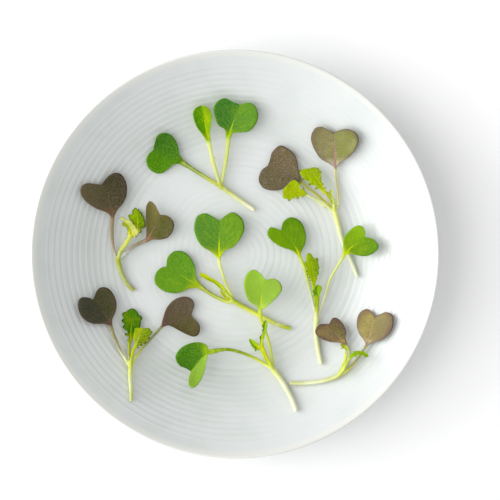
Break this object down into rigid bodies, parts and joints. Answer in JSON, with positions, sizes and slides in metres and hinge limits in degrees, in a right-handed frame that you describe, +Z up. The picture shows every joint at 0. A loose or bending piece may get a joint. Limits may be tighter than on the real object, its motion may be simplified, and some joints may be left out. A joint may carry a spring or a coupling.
{
  "type": "mustard microgreens tray",
  "caption": "Round white glazed dish with fine concentric ribs, holding cut mustard seedlings with green and purple heart-shaped seed leaves and toothed young true leaves.",
  "frame": {"origin": "centre of the circle that the dish's foot ring stands on", "axes": "+Z up along the dish's axis, +X to the right and +Y to the back as the picture shows the dish from above"},
  "size_m": [0.15, 0.15, 0.02],
  "materials": {
    "porcelain": "gloss",
    "green_seed_leaf": "satin",
    "purple_seed_leaf": "satin",
    "young_true_leaf": "satin",
    "pale_stem": "satin"
  },
  "bodies": {
    "root": {"dish": "porcelain", "seedling1_seed_leaf_left": "green_seed_leaf", "seedling1_seed_leaf_right": "green_seed_leaf", "seedling1_stem": "pale_stem", "seedling1_true_leaf": "young_true_leaf", "seedling2_seed_leaf_left": "purple_seed_leaf", "seedling2_seed_leaf_right": "purple_seed_leaf", "seedling2_stem": "pale_stem", "seedling2_true_leaf_back": "young_true_leaf", "seedling2_true_leaf_bud": "young_true_leaf", "seedling2_true_leaf_left": "young_true_leaf", "seedling3_seed_leaf_left": "purple_seed_leaf", "seedling3_seed_leaf_right": "purple_seed_leaf", "seedling3_stem": "pale_stem", "seedling3_true_leaf_back": "young_true_leaf", "seedling3_true_leaf_front": "young_true_leaf", "seedling4_seed_leaf_left": "purple_seed_leaf", "seedling4_seed_leaf_right": "purple_seed_leaf", "seedling4_stem": "pale_stem", "seedling4_true_leaf_back": "young_true_leaf", "seedling4_true_leaf_front": "young_true_leaf", "seedling5_seed_leaf_back": "green_seed_leaf", "seedling5_seed_leaf_left": "green_seed_leaf", "seedling5_stem": "pale_stem", "seedling5_true_leaf_bud": "young_true_leaf", "seedling5_true_leaf_folded": "young_true_leaf", "seedling6_seed_leaf_back": "green_seed_leaf", "seedling6_seed_leaf_left": "green_seed_leaf", "seedling6_stem": "pale_stem", "seedling6_true_leaf_back": "young_true_leaf", "seedling6_true_leaf_left": "young_true_leaf", "seedling7_seed_leaf_left": "green_seed_leaf", "seedling7_seed_leaf_right": "green_seed_leaf", "seedling7_stem": "pale_stem", "seedling7_true_leaf_back": "young_true_leaf", "seedling7_true_leaf_bud": "young_true_leaf", "seedling8_seed_leaf_left": "purple_seed_leaf", "seedling8_seed_leaf_right": "purple_seed_leaf", "seedling8_stem": "pale_stem", "seedling8_true_leaf_left": "young_true_leaf", "seedling8_true_leaf_right": "young_true_leaf"}
  },
  "joints": []
}
